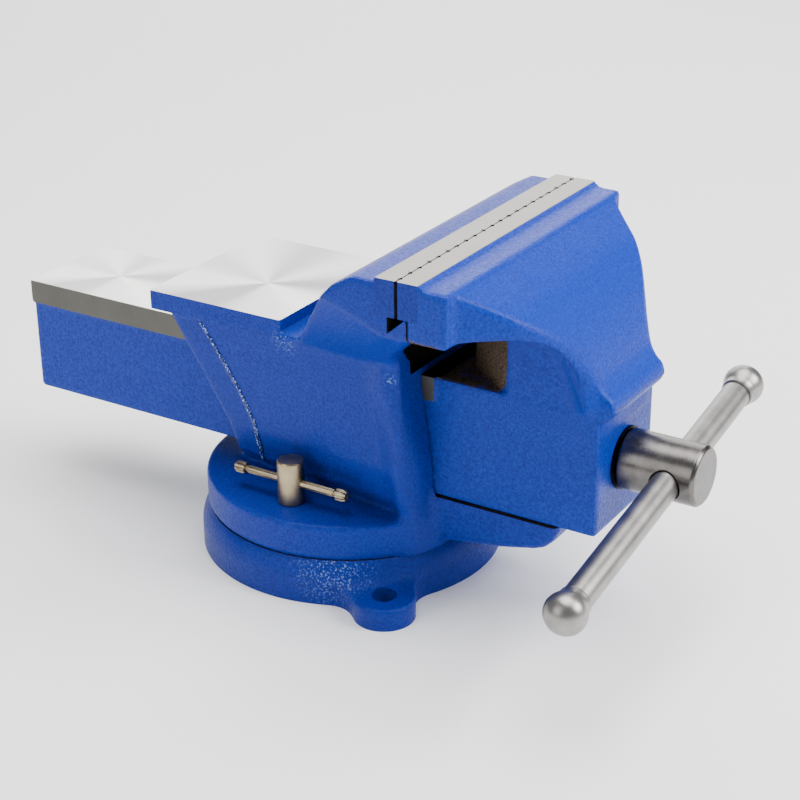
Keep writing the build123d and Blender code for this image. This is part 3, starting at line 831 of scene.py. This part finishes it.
def material(name):
    """A new material: its tree, its Principled shader and a position in millimetres on the piece."""
    made = bpy.data.materials.new(name)
    made.use_nodes = True
    tree = made.node_tree
    shader = tree.nodes["Principled BSDF"]
    place = add(tree, "ShaderNodeTexCoord").outputs["Object"]
    scaled = add(tree, "ShaderNodeVectorMath", {0: place, "Scale": 1000}, operation="SCALE").outputs[0]
    return made, tree, shader, scaled


def noise(tree, place, size_mm, detail=2.0, roughness=0.5):
    """Noise between 0 and 1 with lumps of about size_mm."""
    inputs = {"Vector": place, "Scale": 1 / size_mm, "Detail": detail, "Roughness": roughness}
    return add(tree, "ShaderNodeTexNoise", inputs).outputs["Fac"]


def ramp(tree, value, low, high, low_out=0.0, high_out=1.0):
    """Value taken in a straight line from low..high to low_out..high_out, held at the ends."""
    inputs = {"Value": value, "From Min": low, "From Max": high, "To Min": low_out, "To Max": high_out}
    return add(tree, "ShaderNodeMapRange", inputs).outputs[0]


def blend(tree, factor, first, second):
    """A colour mixed from two colours or sockets."""
    inputs = {0: factor, 6: first, 7: second}
    return add(tree, "ShaderNodeMix", inputs, data_type="RGBA").outputs[2]


def bump(tree, height, height_mm, strength=1.0):
    """A normal from a height between 0 and 1 that stands for height_mm."""
    inputs = {"Height": height, "Distance": height_mm * MM, "Strength": strength}
    return add(tree, "ShaderNodeBump", inputs).outputs[0]


def set_inputs(tree, shader, **inputs):
    """Set or link inputs of the Principled shader, with underscores for spaces."""
    for key, value in inputs.items():
        socket = shader.inputs[key.replace("_", " ")]
        if isinstance(value, bpy.types.NodeSocket):
            tree.links.new(value, socket)
        else:
            socket.default_value = value


# %% Enamel, and bare metals


def enamel(name, bare_and_shade=None, sands=("#17120F", "#6E5D4B"), deep="#06227F", pale="#0F37A8", painted_glints=()):
    """Blue stove enamel over sand-cast iron: lumps of about 1 mm catch the light as speckles.

    bare_and_shade is a region shown in sands: (x range, largest side distance, z range, corner radius). It
    stands for unpainted iron, and for painted shade where it reaches over painted faces that lie in shadow.
    painted_glints are places, as (centre, radius), where pale blue specks are painted into the colour as
    painted highlights.
    """
    made, tree, shader, place = material(name)
    lumps = noise(tree, place, 1.1, 2.5, 0.6)
    swells = noise(tree, place, 7, 1)
    tone = ramp(tree, lumps, 0.3, 0.7)
    colour = blend(tree, tone, linear(deep), linear(pale))
    height = math_node(tree, "ADD", lumps, math_node(tree, "MULTIPLY", swells, 0.6))
    rough = ramp(tree, lumps, 0.35, 0.7, 0.46, 0.3)
    # unpainted iron in the neck's hollow, and painted shade where the region reaches over painted faces in
    # shadow: both show as sands
    if bare_and_shade:
        (x_low, x_high), side, (z_low, z_high), corner = bare_and_shade
        split = add(tree, "ShaderNodeSeparateXYZ", {0: place})
        over = []
        for axis, low, high in ((0, x_low, x_high), (1, -side, side), (2, z_low, z_high)):
            offset = math_node(tree, "SUBTRACT", split.outputs[axis], (low + high) / 2)
            beyond = math_node(tree, "SUBTRACT", math_node(tree, "ABSOLUTE", offset), (high - low) / 2 - corner)
            over.append(math_node(tree, "POWER", math_node(tree, "MAXIMUM", beyond, 0.0), 2.0))
        squares = math_node(tree, "ADD", math_node(tree, "ADD", over[0], over[1]), over[2])
        from_bare_and_shade = math_node(tree, "SQRT", squares)
        wobble = math_node(tree, "MULTIPLY", noise(tree, place, 5), 2)
        bare_and_shade_mask = ramp(tree, math_node(tree, "ADD", from_bare_and_shade, wobble), corner + 0.6, corner + 1.4, 1, 0)
        grains = ramp(tree, noise(tree, place, 0.8, 4, 0.7), 0.35, 0.7)
        sand = blend(tree, grains, linear(sands[0]), linear(sands[1]))
        colour = blend(tree, bare_and_shade_mask, colour, sand)
        rough = math_node(tree, "ADD", rough, math_node(tree, "MULTIPLY", bare_and_shade_mask, 0.4))
    # painted highlights: pale blue specks in the colour, strongest at each centre
    for centre, radius in painted_glints:
        away = add(tree, "ShaderNodeVectorMath", {0: place, 1: centre}, operation="DISTANCE").outputs["Value"]
        spots = math_node(tree, "MULTIPLY", ramp(tree, away, 0.2 * radius, radius, 0.5, 0),
                          ramp(tree, noise(tree, place, 0.9, 2), 0.55, 0.66))
        colour = blend(tree, spots, colour, linear("#8FB0F0"))
    set_inputs(tree, shader, Base_Color=colour, Roughness=rough, Normal=bump(tree, height, 0.3),
               Specular_IOR_Level=0.16)
    return made


def faced(name, centre, light, dark):
    """A face milled with a fly cutter: rings about centre, in mm, and a gloss along them, so that light gathers
    in sectors. Pale and dark sectors about centre are also painted into the colour as a painted reflection, and
    the colour fades to near black from x = 44 to 50 mm as painted shade.
    """
    made, tree, shader, place = material(name)
    offset = add(tree, "ShaderNodeVectorMath", {0: place, 1: (*centre, 0)}, operation="SUBTRACT").outputs[0]
    split = add(tree, "ShaderNodeSeparateXYZ", {0: offset})
    angle = math_node(tree, "ARCTAN2", split.outputs[1], split.outputs[0])
    # painted reflection: three waves about centre set the pale and dark sectors of the colour
    waves = [math_node(tree, "COSINE", math_node(tree, "MULTIPLY_ADD", angle, n, shift))
             for n, shift in ((2.0, 0.5), (3.0, 2.2), (5.0, 1.0))]
    painted_sectors = math_node(tree, "ADD", math_node(tree, "ADD", waves[0], waves[1]), waves[2])
    squares = [math_node(tree, "POWER", split.outputs[axis], 2.0) for axis in (0, 1)]
    radius = math_node(tree, "SQRT", math_node(tree, "ADD", squares[0], squares[1]))
    rings = add(tree, "ShaderNodeTexNoise", {"W": radius, "Scale": 3.0, "Detail": 2.0}, noise_dimensions="1D")
    colour = blend(tree, ramp(tree, painted_sectors, -1.6, 1.8), linear(dark), linear(light))
    # painted shade: past x = 44 mm, where the slide's milled top runs in under the fixed jaw, the colour fades
    # to near black
    throat_shade = ramp(tree, add(tree, "ShaderNodeSeparateXYZ", {0: place}).outputs[0], 44, 50)
    colour = blend(tree, throat_shade, colour, linear("#14110E"))
    across = add(tree, "ShaderNodeCombineXYZ", {0: math_node(tree, "MULTIPLY", split.outputs[1], -1.0),
                                                1: split.outputs[0]}).outputs[0]
    tangent = add(tree, "ShaderNodeVectorMath", {0: across}, operation="NORMALIZE").outputs[0]
    set_inputs(tree, shader, Base_Color=colour, Metallic=1.0, Roughness=0.38, Anisotropic=0.6,
               Tangent=tangent, Normal=bump(tree, rings.outputs[0], 0.004, 0.5))
    return made


def steel(name, light, dark, rough, mottle_mm=3.0, scratch=(0.15, 0.15, 0.15), scratch_mm=0.01):
    """Bare steel: two greys in soft clouds, and fine scratches, with their scale along each axis in 1/mm."""
    made, tree, shader, place = material(name)
    clouds = noise(tree, place, mottle_mm, 3)
    colour = blend(tree, ramp(tree, clouds, 0.25, 0.75), linear(dark), linear(light))
    stretched = add(tree, "ShaderNodeVectorMath", {0: place, 1: scratch}, operation="MULTIPLY").outputs[0]
    fine = noise(tree, stretched, 1, 3, 0.6)
    set_inputs(tree, shader, Base_Color=colour, Metallic=1.0, Normal=bump(tree, fine, scratch_mm),
               Roughness=ramp(tree, clouds, 0.2, 0.8, rough, rough + 0.06))
    return made


# the beads' glossy paint, with pale specks painted into its colour as painted glints
bead_glint_paint, wet_tree, wet_shader, wet_place = material("bead_enamel_painted_glints")
wet_height = noise(wet_tree, wet_place, 0.9, 1)
bead_colour_with_painted_glints = blend(wet_tree, ramp(wet_tree, wet_height, 0.54, 0.64), linear("#051C6C"), linear("#9CB8F0"))
set_inputs(wet_tree, wet_shader, Base_Color=bead_colour_with_painted_glints, Roughness=0.12,
           Normal=bump(wet_tree, wet_height, 0.5))
# the blue, speckled skin of the base and of the plates' ends, a darker copy of the blue as painted shade, with
# painted glints beside the near lug
base_paint = enamel("base_enamel", deep="#051C70", pale="#0C2E97", painted_glints=(((28.9, -59.3, 16.5), 22),))
# the blue on the body, a little darker than on the jaw as painted shade, with painted glints at the web's foot
# and on the column's shoulders
body_painted_glints = [((x, side * y, z), size) for x, y, z, size in ((-5, 45, 109, 9), (49, 44, 104, 4))
               for side in (-1, 1)]
body_paint = enamel("body_enamel", deep="#051E78", pale="#0E32A1", painted_glints=body_painted_glints)
# the blue on the jaw, lighter than on body and base, with the sandy bare hollow of the neck between slide and
# hood; the dark sand also reaches over the slide's top there, which lies in shadow, as painted shade
jaw_paint = enamel("jaw_enamel", ((56, 93.5), 80, (100.6, 138.5), 6))
# the pale cone of light on the anvil's top, a painted reflection, and the same on the slide, painted a little
# lighter as painted light
anvil_face = faced("faced_anvil", (-37.6, -8.3), "#EEECEA", "#A3A2A2")
slide_face = faced("faced_slide", (-129.4, -1.1), "#F6F4F2", "#B9B7B6")
# dull grey guide rails
milled_iron = steel("milled_iron", "#63625D", "#585752", 0.5, 14, (0.12, 1, 4), 0.008)
# bores and hidden cuts
raw_iron = steel("raw_iron", "#6A6560", "#4A4642", 0.6, 4, (1.2, 1.2, 1.2), 0.03)
# even grey jaw strips
ground_steel = steel("ground_steel", "#A3A19B", "#96948E", 0.42, 12, (3, 0.15, 1), 0.004)
# satin handle and knobs
bright_steel = steel("bright_steel", "#9A9896", "#82807E", 0.34, 7, (3, 0.4, 0.4), 0.006)
# the screw's darker head, with a bright streak
turned_head = steel("turned_head", "#6E6B69", "#575452", 0.25, 5, (0.3, 3, 3), 0.006)
# warm lock bolts, brushed upright
zinc = steel("zinc_plate", "#B3A484", "#99896C", 0.3, 6, (2, 2, 0.1), 0.006)
# unpainted iron under the fixed jaw, near black as painted shade, for the face there lies in deep shadow
unpainted_shade_black = steel("unpainted_shade_black", "#14110F", "#070605", 0.7, 2, (1, 1, 1), 0.1)
# nearly black washers, pins and screws, and the grooves of the plates
black_oxide = steel("black_oxide", "#1C1C1E", "#0E0E10", 0.45, 3)

# %% Give every piece its material
finishes = {
    body_casting: (body_paint, anvil_face, raw_iron, unpainted_shade_black),
    jaw_casting: (jaw_paint, slide_face, milled_iron),
    base_casting: (base_paint, raw_iron, raw_iron),
    head: (turned_head, turned_head, turned_head),
}
for piece, choices in finishes.items():
    for choice in choices:
        piece.data.materials.append(choice)
beads.data.materials.append(bead_glint_paint)
for piece in (threaded_rod, bar):
    piece.data.materials.append(bright_steel)
for name in ("left", "right"):
    bpy.data.objects["knob_" + name].data.materials.append(bright_steel)
    bpy.data.objects["lock_head_" + name].data.materials.append(zinc)
    bpy.data.objects["tommy_bar_" + name].data.materials.append(zinc)
for piece in (fixed_plate, movable_plate):
    for choice in (ground_steel, ground_steel, black_oxide, base_paint):
        piece.data.materials.append(choice)

cad_finish = {
    "fixed_plate_screws": black_oxide, "movable_plate_screws": black_oxide, "nut_bolts": black_oxide,
    "pivot_bolt": black_oxide, "tee_nut_left": black_oxide, "tee_nut_right": black_oxide,
    "thrust_washer": black_oxide, "thrust_spring": black_oxide, "collar_pin": black_oxide,
    "spindle_nut": raw_iron, "pivot_washer": zinc, "spring_washer": zinc, "retaining_collar": bright_steel,
}
for node, choice in cad_finish.items():
    slots = bpy.data.objects[node].material_slots
    for slot in slots:
        slot.material = choice
    print(node, "takes", choice.name, "in", len(slots), "slot")

# %% [markdown]
# ## Studio
# A pale floor and a white surround. A soft box overhead gives most of the light. A card behind the vise, on
# the anvil's side, is what the milled tops and the back of the fixed jaw reflect. A third light fills the
# hood from the handle's end, and a weak one fills the near side.

# %% Floor, lights and camera
floor_mesh = bpy.data.meshes.new("floor")
floor_mesh.from_pydata([(-4, -4, 0), (4, -4, 0), (4, 4, 0), (-4, 4, 0)], [], [(0, 1, 2, 3)])
floor = bpy.data.objects.new("floor", floor_mesh)
bpy.context.scene.collection.objects.link(floor)
floor_paint = bpy.data.materials.new("pale_floor")
floor_paint.use_nodes = True
set_inputs(floor_paint.node_tree, floor_paint.node_tree.nodes["Principled BSDF"],
           Base_Color=linear("#FCFCFC"), Roughness=0.9)
floor_mesh.materials.append(floor_paint)

world = bpy.data.worlds.new("surround")
bpy.context.scene.world = world
world.use_nodes = True
world.node_tree.nodes["Background"].inputs["Color"].default_value = (1, 1, 1, 1)
world.node_tree.nodes["Background"].inputs["Strength"].default_value = 0.35


def area_light(name, position, target, size, power):
    """A soft box of width and height in metres, and watts, that faces its target."""
    lamp = bpy.data.lights.new(name, "AREA")
    lamp.shape = "RECTANGLE"
    lamp.size, lamp.size_y = size
    lamp.energy = power
    made = bpy.data.objects.new(name, lamp)
    bpy.context.scene.collection.objects.link(made)
    made.location = position
    made.rotation_euler = (Vector(target) - Vector(position)).to_track_quat("-Z", "Y").to_euler()
    return made


area_light("overhead", (0.1, 0.1, 1.7), (0, 0, 0), (1.4, 1.4), 46)
area_light("back_card", (-0.95, 1.5, 0.9), (0, 0, 0.13), (1.9, 1.3), 29)
area_light("hood_light", (1.3, 0.4, 1.0), (0.1, 0, 0.13), (0.8, 0.8), 34)
area_light("side_fill", (-0.5, -1.5, 0.8), (0, 0, 0.08), (1.0, 1.0), 9)

azimuth, elevation, roll = math.radians(32.02255), math.radians(24.61492), math.radians(-0.41987)
backward = Vector((math.sin(azimuth) * math.cos(elevation), -math.cos(azimuth) * math.cos(elevation),
                   math.sin(elevation)))
level = Vector((math.cos(azimuth), math.sin(azimuth), 0))
upright = backward.cross(level)
right = level * math.cos(roll) + upright * math.sin(roll)
up = upright * math.cos(roll) - level * math.sin(roll)
camera_data = bpy.data.cameras.new("camera")
camera_data.sensor_width = 36
camera_data.lens = 83.73
camera = bpy.data.objects.new("camera", camera_data)
bpy.context.scene.collection.objects.link(camera)
camera.matrix_world = Matrix.Translation((0.423522, -0.635178, 0.415687)) @ Matrix(
    (right, up, backward)
).transposed().to_4x4()
bpy.context.scene.camera = camera
